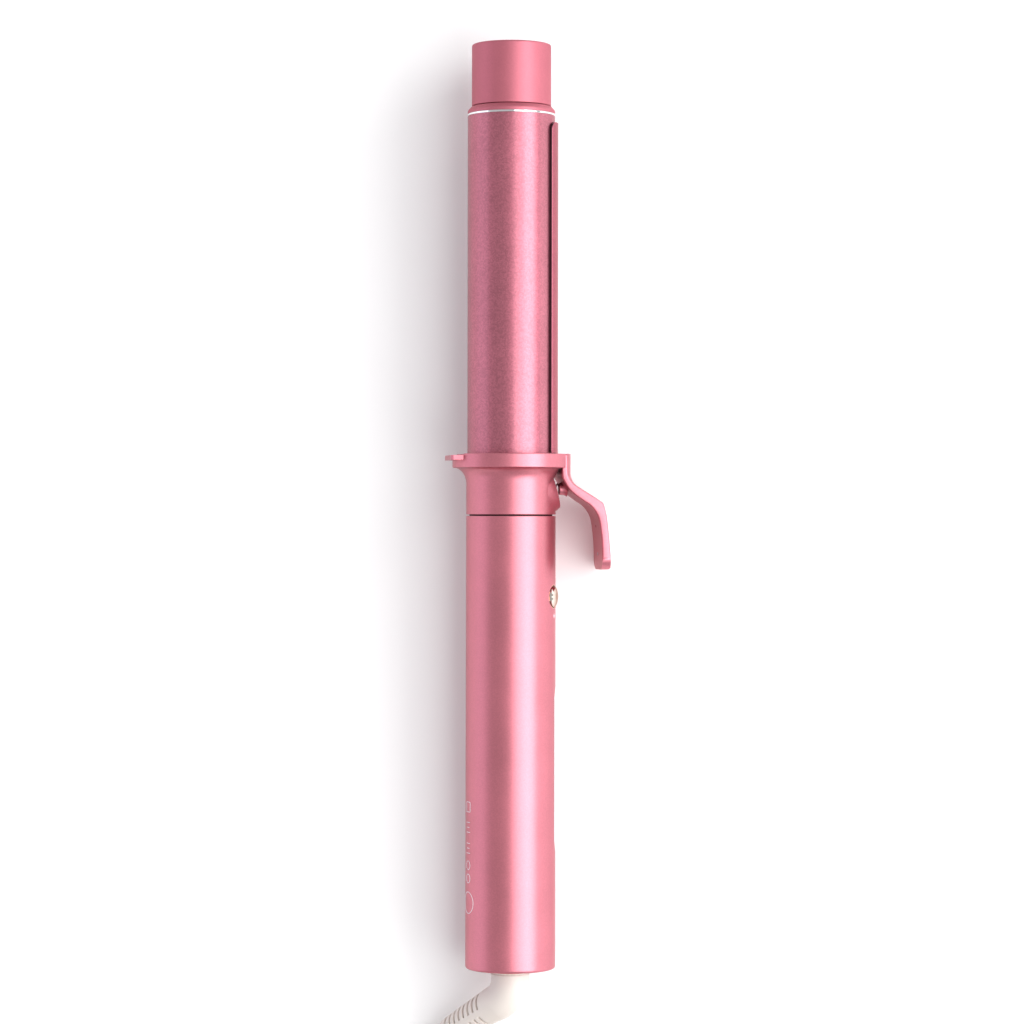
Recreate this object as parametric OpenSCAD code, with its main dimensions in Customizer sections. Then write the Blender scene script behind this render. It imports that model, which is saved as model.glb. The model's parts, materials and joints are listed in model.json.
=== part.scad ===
// Hair curling iron with a sprung clamp, two jewel buttons and a swivelling mains lead.
// The iron is drawn upright: +Z runs from the handle's end to the cool tip and +X points at the thumb lever.
// laid() then lays it on a table, where it rests on the handle's end, the flange and the lever's lower edge.

/* [Barrel] */
// Radius of the heated barrel
barrel_r = 16; // [12:0.5:19]
// Wall of the barrel tube
barrel_wall = 1.2; // [0.8:0.1:2]
// Visible length of the barrel
barrel_len = 123.3; // [90:0.1:150]
// Width of the polished trim ring
trim_len = 0.8; // [0.5:0.1:2]
// How far the trim ring stands out of the barrel
trim_proud = 0.1; // [0:0.05:0.3]
// Length of the shoulder cap above the trim ring
cap_len = 2.7; // [2:0.1:5]

/* [Cool tip] */
// Radius of the cool tip
tip_r = 14.5; // [10.5:0.5:15.5]
// Length of the cool tip
tip_len = 22.5; // [15:0.5:30]
// Wall of the cool tip
tip_wall = 1.8; // [1.2:0.1:2.5]
// Dark gap under the cool tip
tip_gap = 0.2; // [0.1:0.1:0.4]

/* [Handle] */
// Radius of the handle at its end
handle_r = 16.5; // [16.2:0.1:18]
// Radius of the handle at the collar
handle_top_r = 16.35; // [16.2:0.05:17]
// Length of the handle
handle_len = 165.3; // [150:0.1:200]
// Wall of the handle's shell
handle_wall = 2.4; // [1.8:0.1:2.6]
// Rounding of the handle's end
handle_edge = 1.2; // [0.5:0.1:1.5]
// Width of the dark seam between handle and collar
seam_len = 0.5; // [0.3:0.1:1]
// Depth of the dark seam
seam_depth = 1.2; // [0.6:0.1:1.5]

/* [Collar] */
// Length of the collar from the seam to the flange
collar_len = 17; // [16:0.5:22]
// Height of the collar's flare under the flange
flare_len = 5.8; // [4:0.1:7]
// Radius of the flange
flange_r = 21.4; // [20.5:0.1:23]
// Thickness of the flange
flange_len = 5.1; // [4.5:0.1:6]
// Wall of the collar
collar_wall = 4.35; // [3.5:0.05:4.6]
// How far the rest foot reaches past the flange
foot_proud = 1.8; // [1:0.1:3]
// Thickness of the rest foot
foot_len = 1.7; // [1.2:0.1:2.5]

/* [Clamp] */
// Width of the clamp and of its lever
clamp_w = 20.6; // [18:0.1:21]
// Thickness of the clamp's plate
clamp_wall = 0.85; // [0.6:0.05:1.2]
// Distance from the clamp's free end to the trim ring
clamp_short = 2.6; // [1:0.1:8]
// Gap between the clamp and the barrel
clamp_gap = 0.3; // [0.2:0.05:0.6]
// Rounding of the clamp's free corners
clamp_corner = 3; // [1:0.5:6]
// Radius of the pivot pin
pin_r = 1; // [0.8:0.1:1.3]
// Depth of the pivot pin's axis under the barrel's surface
pivot_depth = 0.5; // [0:0.1:1]
// Thickness of the lever's arm
lever_wall = 3.1; // [2.5:0.1:3.5]
// Rounding of the thumb end's corners
lever_corner = 5; // [2:0.5:7]

/* [Buttons and window] */
// Radius of the jewel buttons
button_r = 4; // [3:0.1:4.5]
// Height of the buttons above the handle's end
button_z = 135.9; // [125:0.1:142]
// Angle of each button from the lever's direction
button_turn = 24.2; // [22:0.1:30]
// Travel of the buttons
button_travel = 0.6; // [0.3:0.1:0.8]
// Width of the display window
window_w = 12; // [8:0.5:13]
// Lower end of the display window
window_z = 41.9; // [30:0.1:50]
// Length of the display window
window_len = 61.8; // [40:0.1:66]
// Thickness of the window's glass
glass_wall = 1.2; // [0.8:0.1:1.6]

/* [Swivel and lead] */
// Radius of the swivel's shaft
hub_r = 7; // [6:0.1:7.5]
// Thickness of the end cap's floor
floor_len = 3; // [2:0.1:4]
// Length of the trim ring under the handle
ring_len = 1.3; // [0.8:0.1:2]
// Bend of the strain relief
boot_turn = 60.5; // [50:0.5:65]
// Turn of that bend towards the table
boot_roll = 20; // [0:1:22]
// Radius of the strain relief's bend
boot_bend = 10.1; // [9:0.1:12]
// Length of the strain relief's ribbed sleeve
boot_len = 25; // [20:0.5:30]
// Diameter of the mains lead
cord_d = 6; // [5:0.5:7]

/* [Hidden] */
$fn = 96;
eps = 0.01;

// clearances
run_gap = 0.05;      // a shaft in its hole
move_gap = 0.3;      // pieces that pass each other
rivet_r = 1.2;
notch_gap = 0.3;     // lever in the flange's notch

// heights along the iron
collar_z = handle_len + seam_len;
flange_z = collar_z + collar_len;
barrel_z = flange_z + flange_len;
trim_z = barrel_z + barrel_len;
cap_z = trim_z + trim_len;
tip_z = cap_z + cap_len;
iron_len = tip_z + tip_gap + tip_len;
seat_len = 1;        // barrel's seat in the flange
flange_edge = 0.4;
shell_r = handle_top_r - handle_wall;
collar_r = handle_top_r;
cavity_r = collar_r - collar_wall;
spigot_len = 8;

// clamp and lever
half_w = clamp_w / 2;
plate_in = barrel_r + clamp_gap;
plate_out = plate_in + clamp_wall;
pivot_rho = barrel_r - pivot_depth;
pivot_z = flange_z + 1.8;
notch_x = pivot_rho - 2.6;
notch_z = flange_z - 4.9;
ear_r = 1.7;
ear_w = 3;
pin_bite = 3.2;      // how deep each pivot pin sits in the flange
tongue_w = clamp_w - 2 * ear_w - 2 * notch_gap;
tongue_z = flange_z - 2;
rivet_z = pivot_z - 1;
lever_out = flange_r + 0.4;
rivet_tip = lever_out - 3.05;
lever_reach = 35.7;
lever_end_z = pivot_z - 38.9;
boss_r = 2.2;
boss_z = flange_z - 7.6;
boss_tip = collar_r + 1.25;
socket_r = 5.6;
socket_x = cavity_r + 2.2;
spring_x = cavity_r - 1.8;
pad_z = lever_end_z + 3.2;
pad_len = 15.9;

// the lever's side view, outer side from the flange to the thumb end and back along the inner side
lever_side = [
    [plate_in + 0.6, barrel_z], [lever_out, barrel_z], [lever_out, flange_z - 2],
    [lever_out + 0.5, flange_z - 4.7], [lever_reach - 2.4, flange_z - 12.4],
    [lever_reach - 1.9, flange_z - 13.8], [lever_reach - 1.3, flange_z - 17.7],
    [lever_reach, lever_end_z + 3], [lever_reach - 0.5, lever_end_z],
    [lever_reach - 0.2 - lever_wall, lever_end_z], [lever_reach - 3.8, flange_z - 24.7],
    [lever_reach - 4.6, flange_z - 19], [lever_reach - 6, flange_z - 15.9],
    [lever_reach - 7.8, flange_z - 13.8], [lever_reach - 10.4, flange_z - 12.1],
    [lever_out - 1.0, flange_z - 8.6], [lever_out - 2.3, flange_z - 7.1],
    [lever_out - 3.2, flange_z - 5.6], [lever_out - 4.3, flange_z - 4.1],
    [lever_out - 4.5, flange_z - 1.3]
];

// buttons, window and board
board_x = 6;
board_wall = 1.6;
board_w = 18;
capacitor_r = (shell_r - board_x - board_wall - move_gap - run_gap) / 2;
board_z = 30;
board_len = button_z + 12 - board_z;
button_lip = 0.8;
button_foot = shell_r - 1.9 - button_lip;
lip_r = min(button_r + 0.8, button_foot * tan(button_turn) - 0.15);
window_x = sqrt(pow(handle_r - 0.05, 2) - pow(window_w / 2, 2));
switch_top = shell_r - 2.7 - button_travel - move_gap;

// swivel
clip_z = floor_len + 0.5;
clip_r = 9.2;
spindle_r = 4.2;
spindle_len = 17;
contact_r = 5.2;
cord_r = cord_d / 2;
boot_r = hub_r + 0.1;
boot_drop = ring_len + move_gap;
boot_neck = 2.4;
boot_mid_r = 5.9;

// how the iron lies: handle end and flange on the table, rolled until the lever's edge touches
pitch = asin((flange_r - handle_r) / (flange_z + flange_edge - handle_edge));
lift = (handle_r - handle_edge) * cos(pitch) - handle_edge * sin(pitch) + handle_edge;
touch_z = lever_end_z + lever_corner;
touch_rho = lever_reach - (touch_z - lever_end_z - 3) * 1.3 / (flange_z - 17.7 - lever_end_z - 3);
touch_h = (lift + touch_z * sin(pitch)) / cos(pitch);
roll = asin(touch_h / norm([touch_rho, half_w])) - atan2(half_w, touch_rho);

// the origin is under the middle of the iron, so these shift it there
foot_out = flange_r + foot_proud;
right_x = lever_reach * cos(roll) + (half_w - 2) * sin(roll);
left_x = foot_out * cos(roll) + half_w * sin(roll);
mid_x = (right_x - left_x) / 2;
mid_y = (iron_len * cos(pitch) + (tip_r - 0.6) * sin(pitch) - ring_len - 7.4 * sin(pitch)) / 2;

// the lead: points of its free stretch and of its tail, and its coil
cord_path = [
    [-26, -190, 8.4], [-31, -193, 6.6], [-36.5, -197, 5], [-41, -202, 4], [-45.5, -208, 3.5],
    [-49, -214, 3.3], [-52, -221, 3.3], [-54.5, -228, 3.4], [-56.5, -235.5, 3.4],
    [-58, -242.5, 3.4], [-58.5, -249, 3.4]
];
tail_path = [
    [-57.5, -258, 9.4], [-56, -265, 9.4], [-53, -272.5, 9.3], [-50, -280.5, 8.8],
    [-47.5, -288, 7.6], [-44.5, -296, 6.2], [-41.5, -302, 5.2], [-37, -307, 4.8],
    [-31.5, -311, 5], [-25, -313.5, 5.8], [-18.5, -314.5, 6.6], [-14, -314.5, 6.8]
];
coil_at = [-15, -250];
coil_mid_r = 34.5;
coil_cols = 4;
coil_rows = 2;
coil_lift = 0.4;
tie_w = 12;
tie_wall = 0.8;
plug_at = [-18, -314.5];
plug_h = 13.6;
plug_w = 34;
plug_len = 24;
plug_neck = 12;
plug_pin_r = 2;
plug_pin_len = 19;
plug_pitch = 18.6;
sleeve_len = 10;
sleeve_inset = 0.2;
pin_point = 0.8;

// ---------------------------------------------------------------- placing

module laid() {
    translate([-mid_x, -mid_y, lift])
        rotate([pitch, 0, 0])
            rotate([-90, 0, 0])
                rotate([0, 0, roll])
                    children();
}

// the lead's own side of the swivel keeps level while the iron rolls
module lead_frame() {
    translate([-mid_x, -mid_y, lift])
        rotate([pitch, 0, 0])
            rotate([-90, 0, 0])
                children();
}

module tube(r_out, r_in, z0, z1) {
    translate([0, 0, z0])
        difference() {
            cylinder(r = r_out, h = z1 - z0);
            translate([0, 0, -1]) cylinder(r = r_in, h = z1 - z0 + 2);
        }
}

module disc(r, z0, z1) {
    translate([0, 0, z0]) cylinder(r = r, h = z1 - z0);
}

// a cylinder along X
module disc_x(r, x0, x1) {
    translate([x0, 0, 0]) rotate([0, 90, 0]) cylinder(r = r, h = x1 - x0);
}

// a cylinder along Y, centred
module rod_y(r, len) {
    rotate([90, 0, 0]) cylinder(r = r, h = len, center = true);
}

module box(lo, hi) {
    translate(lo) cube(hi - lo);
}

// an outline in Y and Z, pushed along X
module side_plate(x0, x1) {
    translate([x0, 0, 0])
        rotate([90, 0, 90])
            linear_extrude(height = x1 - x0)
                children();
}

// a strip with round ends, z0 to z1
module slot_2d(w, z0, z1) {
    translate([0, z0 + w / 2]) circle(r = w / 2);
    translate([0, z1 - w / 2]) circle(r = w / 2);
    translate([-w / 2, z0 + w / 2]) square([w, z1 - z0 - w]);
}

// a rectangle from z0 to z1 with its two upper corners rounded
module rounded_top_2d(w, z0, z1, r) {
    translate([-w / 2, z0]) square([w, z1 - z0 - r]);
    translate([-w / 2 + r, z0]) square([w - 2 * r, z1 - z0]);
    for (side = [-1, 1])
        translate([side * (w / 2 - r), z1 - r]) circle(r = r);
}

// a round wire through a list of points
module wire(points, r) {
    for (i = [0 : len(points) - 2]) {
        d = points[i + 1] - points[i];
        translate(points[i])
            rotate([0, acos(d[2] / norm(d)), atan2(d[1], d[0])])
                cylinder(r = r, h = norm(d), $fn = 24);
    }
    for (i = [1 : len(points) - 2])
        translate(points[i]) sphere(r = r, $fn = 24);
}

// ---------------------------------------------------------------- barrel end

module cool_tip() {
    edge = 0.7;
    base = tip_z + tip_gap;
    color("#cf858d") laid()
        rotate_extrude()
            polygon([
                [0, iron_len], [tip_r - edge, iron_len], [tip_r - edge * 0.3, iron_len - edge * 0.3],
                [tip_r, iron_len - edge], [tip_r, base], [barrel_r - 5, base],
                [barrel_r - 5, cap_z], [barrel_r - 5 - tip_wall, cap_z],
                [barrel_r - 5 - tip_wall, base + tip_wall], [tip_r - tip_wall, base + tip_wall],
                [tip_r - tip_wall, iron_len - tip_wall], [0, iron_len - tip_wall]
            ]);
}

module barrel_cap() {
    color("#c98089") laid()
        rotate_extrude()
            polygon([
                [barrel_r - 5, cap_z - 2], [barrel_r - barrel_wall - 1.5, cap_z - 2],
                [barrel_r - barrel_wall - 1.5, cap_z], [barrel_r, cap_z], [barrel_r, cap_z + 1],
                [tip_r + 0.1, tip_z], [barrel_r - 5, tip_z]
            ]);
}

module trim_ring() {
    color("#f2f2f4") laid()
        tube(barrel_r + trim_proud, barrel_r - barrel_wall - 1.5, trim_z, cap_z);
}

module barrel() {
    color("#b8707f") laid()
        tube(barrel_r, barrel_r - barrel_wall, barrel_z - seat_len, trim_z);
}

heater_r = barrel_r - barrel_wall;
heater_z = barrel_z + 22;
heater_len = barrel_len - 53.3;
heater_half = 2.2;

// a half-round aluminium bar pressed against the barrel; side is 1 at the front and -1 at the back
module heater_plate(side) {
    laid()
        difference() {
            disc(heater_r, heater_z - 6, heater_z + heater_len + 16);
            box([-barrel_r, side > 0 ? -heater_half : -barrel_r, heater_z - 7],
                [barrel_r, side > 0 ? barrel_r : heater_half, heater_z + heater_len + 17]);
        }
}

module heater_plate_front() {
    color("#b9bcc0") heater_plate(1);
}

module heater_plate_back() {
    color("#b9bcc0") heater_plate(-1);
}

module ceramic_heater() {
    color("#f4efe6") laid()
        box([-10, -heater_half, heater_z], [10, heater_half, heater_z + heater_len]);
}

module thermistor() {
    color("#7a3b2a") laid()
        translate([4, 0, heater_z + heater_len + 2]) {
            cylinder(r = 1, h = 9);
            translate([0, 0, 9]) sphere(r = 1.6);
        }
}

module thermal_fuse() {
    color("#d8d4c8") laid()
        disc_at([-5, 0], 1.8, heater_z + heater_len + 1, heater_z + heater_len + 13);
}

module disc_at(at, r, z0, z1) {
    translate([at[0], at[1], 0]) disc(r, z0, z1);
}

neck_r = 8.5;
bush_bore_r = 5;

module barrel_bush() {
    color("#e9e2d2") laid()
        rotate_extrude()
            polygon([
                [bush_bore_r, flange_z - 10], [neck_r, flange_z - 10], [neck_r, barrel_z],
                [heater_r, barrel_z], [heater_r, barrel_z + 8], [bush_bore_r, barrel_z + 8]
            ]);
}

// ---------------------------------------------------------------- collar

// raised shroud of the lever's spring; a cone that points along X, planed down towards the flange
module spring_shroud() {
    shroud_z = flange_z - 8.5;
    lip = collar_r + 1.55;
    intersection() {
        translate([0, 0, shroud_z])
            rotate([0, 90, 0])
                translate([0, 0, cavity_r])
                    cylinder(r1 = 11.2, r2 = 6.1, h = lip - cavity_r);
        box([cavity_r - 1, -barrel_r, collar_z], [lip + 1, barrel_r, flange_z]);
        translate([lip, 0, flange_z - 14.3])
            rotate([0, -14, 0])
                box([-barrel_r, -barrel_r, -20], [0, barrel_r, 40]);
    }
}

module collar_body() {
    flare_dx = flange_r - flange_edge - collar_r;
    flare_z = flange_z - flare_len;
    flare_steps = 6;
    rotate_extrude()
        polygon(concat(
            [[neck_r + run_gap, barrel_z], [neck_r + run_gap, flange_z - 2.3],
             [cavity_r, flange_z - 2.3], [cavity_r, handle_len - spigot_len],
             [shell_r - run_gap, handle_len - spigot_len], [shell_r - run_gap, collar_z],
             [collar_r, collar_z]],
            [for (i = [0 : flare_steps])
                [collar_r + flare_dx * (1 - cos(90 * i / flare_steps)),
                 flare_z + flare_len * sin(90 * i / flare_steps)]],
            [[flange_r, flange_z + flange_edge], [flange_r, barrel_z - flange_edge],
             [flange_r - flange_edge, barrel_z], [barrel_r + run_gap, barrel_z],
             [barrel_r + run_gap, barrel_z - seat_len], [heater_r, barrel_z - seat_len],
             [heater_r, barrel_z]]
        ));
}

module collar() {
    color("#d78d98") laid()
        difference() {
            union() {
                collar_body();
                spring_shroud();
                intersection() {
                    translate([0, 0, boss_z]) disc_x(6.8, cavity_r - 2.6, collar_r - 0.5);
                    disc(collar_r - 0.5, collar_z, flange_z);
                }
            }
            // the lever's notch through the flange
            box([notch_x, -half_w - notch_gap, notch_z], [flange_r + 2, half_w + notch_gap, barrel_z + 1]);
            // the spring's recess and bore
            translate([0, 0, boss_z - 0.3]) disc_x(socket_r, socket_x, flange_r);
            translate([0, 0, boss_z]) disc_x(boss_r + 0.2, spring_x, flange_r);
            // the pivot pin's blind hole
            translate([pivot_rho, 0, pivot_z]) rod_y(pin_r, clamp_w + 2 * pin_bite + 0.2);
            // the rest foot's slot in the flange
            box([-foot_out, -half_w - run_gap, barrel_z - 0.6 - foot_len],
                [-flange_r + 4, half_w + run_gap, barrel_z + 1]);
        }
}

module seam_ring() {
    color("#1c1416") laid()
        tube(collar_r - seam_depth, shell_r - run_gap, handle_len, collar_z);
}

module rest_foot() {
    color("#c77f8b") laid()
        difference() {
            box([-foot_out, -half_w, barrel_z - 0.6 - foot_len],
                [-flange_r + 4, half_w, barrel_z - 0.6]);
            for (side = [-1, 1])
                translate([-foot_out, side * half_w, barrel_z - 0.7 - foot_len])
                    rotate([0, 0, 45])
                        cube([1.2, 1.2, 2 * foot_len + 2], center = true);
        }
}

// two short pins, so that the clamp's tongue passes between them
module pivot_pins() {
    color("#c9ccd0") laid()
        for (side = [-1, 1])
            translate([pivot_rho, side * (half_w + (pin_bite - ear_w) / 2), pivot_z])
                rod_y(pin_r, pin_bite + ear_w);
}

// ---------------------------------------------------------------- clamp and lever

module clamp() {
    color("#a85f6c") laid()
        difference() {
            intersection() {
                tube(plate_out, plate_in, tongue_z, trim_z);
                side_plate(0, flange_r)
                    union() {
                        rounded_top_2d(clamp_w, barrel_z + notch_gap, trim_z - clamp_short, clamp_corner);
                        translate([-tongue_w / 2, tongue_z])
                            square([tongue_w, barrel_z + 1 - tongue_z]);
                    }
            }
            for (side = [-1, 1])
                translate([0, side * 4, rivet_z]) disc_x(rivet_r, 0, flange_r);
        }
}

module clamp_rivets() {
    color("#c9ccd0") laid()
        for (side = [-1, 1])
            translate([0, side * 4, rivet_z]) {
                disc_x(rivet_r, plate_in - 1.4, rivet_tip);
                disc_x(rivet_r + 0.9, plate_in - 2.1, plate_in - 1.35);
            }
}

module lever_solid() {
    // arm below the flange
    rotate([90, 0, 0])
        translate([0, 0, -half_w])
            linear_extrude(height = clamp_w)
                polygon(lever_side);
    // ears that carry the pivot pin
    for (side = [-1, 1])
        translate([0, side * (half_w - ear_w / 2), 0]) {
            translate([pivot_rho, 0, pivot_z]) rod_y(ear_r, ear_w);
            box([pivot_rho, -ear_w / 2, pivot_z - ear_r], [lever_out - 2.8, ear_w / 2, pivot_z + ear_r]);
        }
    // boss that sits on the spring
    translate([0, 0, boss_z]) disc_x(boss_r, boss_tip, lever_out - 0.6);
}

module lever() {
    tip_x = lever_reach + 2;
    color("#d78d98") laid()
        difference() {
            lever_solid();
            // seat of the clamp's tongue
            intersection() {
                disc(plate_out, flange_z - 5, barrel_z + 1);
                box([0, -tongue_w / 2 - notch_gap, flange_z - 5],
                    [flange_r, tongue_w / 2 + notch_gap, barrel_z + 1]);
            }
            // crowned outside, flush with the flange
            difference() {
                box([notch_x, -barrel_r, flange_z - 3.4], [tip_x, barrel_r, barrel_z + 1]);
                disc(lever_out, flange_z - 4, barrel_z + 2);
            }
            // the pin's hole
            translate([pivot_rho, 0, pivot_z]) rod_y(pin_r + run_gap, clamp_w + 2);
            for (side = [-1, 1])
                translate([0, side * 4, rivet_z]) disc_x(rivet_r, 0, rivet_tip);
            // round corners of the thumb end
            for (side = [-1, 1])
                difference() {
                    translate([20, side * (half_w - lever_corner / 2 + 0.5), lever_end_z + lever_corner / 2 - 0.5])
                        translate([0, -lever_corner / 2 - 0.5, -lever_corner / 2 - 0.5])
                            cube([20, lever_corner + 1, lever_corner + 1]);
                    translate([0, side * (half_w - lever_corner), lever_end_z + lever_corner])
                        disc_x(lever_corner, 19, 41);
                }
            // seats of the thumb pad's pins
            for (z = [pad_z + 2.5, pad_z + 12.6])
                translate([0, 0, z]) disc_x(0.6, lever_reach - 5, lever_reach + 1);
            // seat of the thumb pad
            pad_block(0);
        }
}

// the thumb pad's slab, sunk in the lever's outer face
module pad_block(shrink) {
    pad_w = clamp_w - 8;
    slant = atan2(1.3, flange_z - 17.7 - lever_end_z - 3);
    translate([lever_reach - 0.1, 0, lever_end_z + 3])
        rotate([0, -slant, 0])
            side_plate(-0.9, 0.25 - shrink)
                translate([0, 0.2 + shrink])
                    slot_2d(pad_w - 2 * shrink, 0, pad_len - 2 * shrink);
}

module thumb_pad() {
    color("#c9808b") laid()
        difference() {
            pad_block(0.05);
            for (z = [pad_z + 2.5, pad_z + 12.6])
                translate([0, 0, z]) disc_x(0.6, lever_reach - 5, lever_reach + 1);
        }
}

module thumb_pins() {
    color("#8d5460") laid()
        for (z = [pad_z + 2.5, pad_z + 12.6])
            translate([0, 0, z]) disc_x(0.6, lever_reach - 3.6, lever_reach - 0.4);
}

module clamp_spring() {
    wire_r = 0.25;
    turns = 6;
    step = (boss_tip - spring_x) / turns;
    color("#c9ccd0") laid()
        translate([spring_x, 0, boss_z])
            rotate([0, 90, 0])
                for (i = [0 : turns - 1])
                    translate([0, 0, (i + 0.5) * step])
                        rotate_extrude($fn = 32)
                            translate([boss_r - 0.3, 0]) circle(r = wire_r, $fn = 16);
}

// ---------------------------------------------------------------- handle

// the children lie on a button's axis, +Z outwards and the handle's axis at zero
module at_button(side) {
    translate([0, 0, button_z])
        rotate([0, 0, side * button_turn])
            rotate([0, 90, 0])
                children();
}

module handle_shell() {
    color("#dd95a0") laid()
        difference() {
            rotate_extrude()
                polygon([
                    [shell_r, 0], [handle_r - handle_edge, 0],
                    [handle_r - handle_edge * 0.5, handle_edge * 0.134],
                    [handle_r - handle_edge * 0.134, handle_edge * 0.5],
                    [handle_r, handle_edge], [handle_top_r, handle_len], [shell_r, handle_len]
                ]);
            side_plate(0, barrel_r + 4) slot_2d(window_w, window_z, window_z + window_len);
            for (side = [-1, 1])
                at_button(side) cylinder(r = button_r + 0.4, h = barrel_r + 4);
        }
}

module display_window() {
    color("#0c0d12") laid()
        side_plate(window_x - glass_wall, window_x)
            slot_2d(window_w - 2 * run_gap, window_z + run_gap, window_z + window_len - run_gap);
}

module display_module() {
    color("#2b2d33") laid()
        box([board_x + board_wall, -window_w / 2 + 0.6, window_z + 7],
            [window_x - glass_wall, window_w / 2 - 0.6, window_z + window_len - 7]);
}

module circuit_board() {
    color("#2f6b45") laid()
        difference() {
            box([board_x, -board_w / 2, board_z], [board_x + board_wall, board_w / 2, board_z + board_len]);
            for (z = [board_z + 5, board_z + board_len - 5])
                translate([0, 0, z]) disc_x(1.1, board_x - 1, board_x + board_wall + 1);
        }
}

module capacitor() {
    color("#38404c") laid()
        translate([board_x + board_wall + capacitor_r, 0, 0]) disc(capacitor_r, board_z + 8.5, board_z + 16);
}

module triac() {
    color("#202226") laid()
        box([board_x + board_wall, -5, window_z + window_len + 6],
            [board_x + board_wall + 3, 5, window_z + window_len + 16]);
}

// one clear jewel on a white plunger
module jewel(side) {
    top = handle_top_r + 0.3;
    laid()
        at_button(side) {
            translate([0, 0, button_foot]) cylinder(r = lip_r, h = button_lip);
            translate([0, 0, shell_r - 2]) cylinder(r = button_r, h = top - shell_r + 2);
            translate([0, 0, top - eps]) cylinder(r1 = button_r, r2 = button_r * 0.55, h = 0.7, $fn = 12);
        }
}

module button_up() {
    color("#f3eef0") jewel(-1);
}

module button_down() {
    color("#f3eef0") jewel(1);
}

module button_bezels() {
    color("#d9a08c") laid()
        intersection() {
            for (side = [-1, 1])
                at_button(side)
                    difference() {
                        cylinder(r = button_r + 0.4, h = handle_top_r + 1);
                        translate([0, 0, -1]) cylinder(r = button_r + 0.1, h = handle_top_r + 4);
                    }
            tube(handle_top_r, shell_r + 0.2, button_z - 8, button_z + 8);
        }
}

module tact_switches() {
    color("#e4e4e0") laid()
        for (side = [-1, 1])
            at_button(side)
                translate([-2.25, -2.25, board_x + board_wall + 2.2])
                    cube([4.5, 4.5, switch_top - board_x - board_wall - 2.2]);
}

module chassis() {
    color("#e8e6e2") laid()
        difference() {
            intersection() {
                disc(shell_r - run_gap, board_z - 6, board_z + board_len + 3);
                box([board_x - 2.4, -barrel_r, board_z - 7], [board_x, barrel_r, board_z + board_len + 4]);
            }
            for (z = [board_z + 5, board_z + board_len - 5])
                translate([0, 0, z]) disc_x(1, board_x - 3, board_x + 1);
        }
}

module chassis_screws() {
    color("#c9ccd0") laid()
        for (z = [board_z + 5, board_z + board_len - 5])
            translate([0, 0, z]) {
                disc_x(1, board_x - 2, board_x + board_wall);
                disc_x(1.9, board_x + board_wall, board_x + board_wall + 1.2);
            }
}

module heater_leads() {
    lead_x = board_x + board_wall + 0.9;
    color("#b83a34") laid()
        for (side = [-1, 1])
            wire([
                [lead_x, side * 6.5, board_z + board_len - 4], [lead_x, side * 6.5, board_z + board_len + 5],
                [2.5, side * 2.4, flange_z - 14], [2.5, side * 2.4, barrel_z + 10],
                [7, side * 1.2, heater_z - 7], [7, side * 1.2, heater_z]
            ], 0.85);
}

module supply_leads() {
    lead_x = board_x + board_wall + 0.9;
    color("#2c2c30") laid()
        for (side = [-1, 1])
            wire([
                [0, side * (contact_r + 0.5), spindle_len + 2], [0, side * (contact_r + 0.5), spindle_len + 3],
                [lead_x, side * 6.5, board_z - 7.5], [lead_x, side * 6.5, board_z + 3.5]
            ], 0.85);
}

// ---------------------------------------------------------------- swivel

module end_cap() {
    color("#d78d98") laid()
        difference() {
            rotate_extrude()
                polygon([
                    [hub_r + run_gap, 0], [shell_r - run_gap, 0], [shell_r - run_gap, 14],
                    [shell_r - 1.5, 14], [shell_r - 1.5, floor_len], [hub_r + run_gap, floor_len]
                ]);
            for (side = [-1, 1])
                translate([side * 10.8, 0, -1]) cylinder(r = 0.9, h = floor_len + 2);
        }
}

module end_cap_screws() {
    color("#c9ccd0") laid()
        for (side = [-1, 1])
            translate([side * 10.8, 0, 0]) disc(0.9, 0, floor_len + 3);
}

module end_ring() {
    color("#e0a890") laid()
        rotate_extrude()
            polygon([
                [hub_r + run_gap, 0], [8.2, 0], [8.2, -0.3], [7.9, -0.9], [7.4, -ring_len],
                [hub_r + run_gap, -ring_len]
            ]);
}

module contact_brushes() {
    color("#c9a24a") laid()
        for (side = [-1, 1])
            box([-2, side > 0 ? contact_r + move_gap : -contact_r - move_gap - 0.4, side > 0 ? 12 : 7.5],
                [2, side > 0 ? contact_r + move_gap + 0.4 : -contact_r - move_gap, spindle_len + 2]);
}

module brush_holders() {
    color("#e8e6e2") laid()
        intersection() {
            for (side = [-1, 1])
                box([-4, side > 0 ? contact_r + 0.7 : -shell_r, 6.5],
                    [4, side > 0 ? shell_r : -contact_r - 0.7, 18]);
            disc(shell_r - 1.5, 6, 19);
        }
}

module swivel_hub() {
    color("#efe9e2") lead_frame()
        rotate_extrude()
            polygon([
                [2.2, -boot_drop], [hub_r, -boot_drop], [hub_r, clip_z], [hub_r - 0.7, clip_z],
                [hub_r - 0.7, clip_z + 1], [hub_r, clip_z + 1], [hub_r, clip_z + 2],
                [spindle_r, clip_z + 2], [spindle_r, spindle_len], [2.2, spindle_len]
            ]);
}

module hub_clip() {
    color("#c9ccd0") lead_frame()
        difference() {
            tube(clip_r, hub_r - 0.7, clip_z, clip_z + 1);
            box([0, -1.5, clip_z - 1], [clip_r + 1, 1.5, clip_z + 2]);
        }
}

module contact_rings() {
    color("#c9a24a") lead_frame() {
        tube(contact_r, spindle_r, 7.5, 10);
        tube(contact_r, spindle_r, 12.5, 15);
    }
}

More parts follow.
